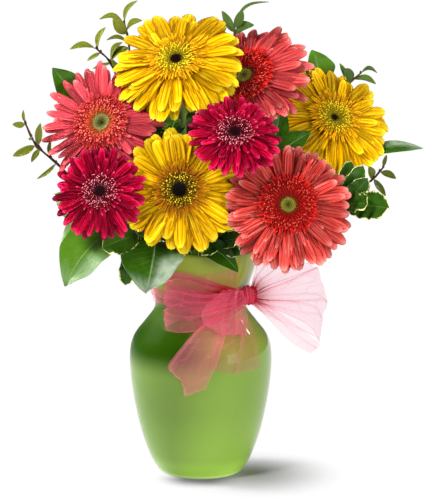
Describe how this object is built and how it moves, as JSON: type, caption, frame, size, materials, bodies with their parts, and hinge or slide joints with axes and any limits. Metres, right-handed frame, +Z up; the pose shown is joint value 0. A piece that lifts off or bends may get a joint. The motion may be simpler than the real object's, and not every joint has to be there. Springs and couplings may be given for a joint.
{
  "type": "gerberas in a vase",
  "caption": "Gerberas with mixed foliage standing in a glazed, shouldered vase, tied at its neck with a sheer bow.",
  "frame": {"origin": "middle of the vase's foot, on the surface it stands on", "axes": "+Z up along the vase's axis, +X to the right and +Y away from the side that the flowers face"},
  "size_m": [0.351, 0.218, 0.4204],
  "materials": {
    "glaze": "glossy lime-green glaze",
    "water": "clear, still water",
    "yellow_petal": "soft satin petal, finely ribbed along its length",
    "coral_petal": "soft satin petal, finely ribbed along its length",
    "pink_petal": "soft satin petal, finely ribbed along its length",
    "yellow_floret": "matt florets round a dark eye",
    "coral_floret": "matt florets round a green-yellow eye",
    "pink_floret": "matt pale-tipped florets round a dark eye",
    "flower_stem": "satin green stalk with fine hairs",
    "berry_foliage": "satin olive leaves on a brown stalk",
    "privet_foliage": "satin green leaves",
    "variegated_foliage": "satin green leaves with cream margins",
    "salal_foliage": "glossy dark green leaves",
    "tulle": "sheer pink net"
  },
  "bodies": {
    "root": {"vase": "glaze", "water": "water", "pink_left_rays": "pink_petal", "pink_left_disc": "pink_floret", "pink_left_stem": "flower_stem", "pink_mid_rays": "pink_petal", "pink_mid_disc": "pink_floret", "pink_mid_stem": "flower_stem", "coral_low_rays": "coral_petal", "coral_low_disc": "coral_floret", "coral_low_stem": "flower_stem", "yellow_mid_rays": "yellow_petal", "yellow_mid_disc": "yellow_floret", "yellow_mid_stem": "flower_stem", "yellow_top_rays": "yellow_petal", "yellow_top_disc": "yellow_floret", "yellow_top_stem": "flower_stem", "coral_left_rays": "coral_petal", "coral_left_disc": "coral_floret", "coral_left_stem": "flower_stem", "coral_top_rays": "coral_petal", "coral_top_disc": "coral_floret", "coral_top_stem": "flower_stem", "yellow_right_rays": "yellow_petal", "yellow_right_disc": "yellow_floret", "yellow_right_stem": "flower_stem", "berry_sprig_top_left": "berry_foliage", "berry_sprig_fork": "berry_foliage", "berry_sprig_left": "berry_foliage", "brown_twig_right": "berry_foliage", "privet_sprig_top": "privet_foliage", "privet_sprig_right": "privet_foliage", "variegated_right": "variegated_foliage", "variegated_left": "variegated_foliage", "variegated_centre": "variegated_foliage", "salal_top_left": "salal_foliage", "salal_low_left": "salal_foliage", "salal_front_left": "salal_foliage", "salal_rim": "salal_foliage", "salal_middle": "salal_foliage", "salal_gap": "salal_foliage", "salal_top_right": "salal_foliage", "lance_leaf_right": "salal_foliage", "salal_back_left": "salal_foliage", "salal_back_middle": "salal_foliage", "salal_back_right": "salal_foliage", "bow_band": "tulle", "bow_knot": "tulle", "bow_loop_left": "tulle", "bow_loop_right": "tulle", "bow_tail_left": "tulle", "bow_tail_right": "tulle"}
  },
  "joints": []
}
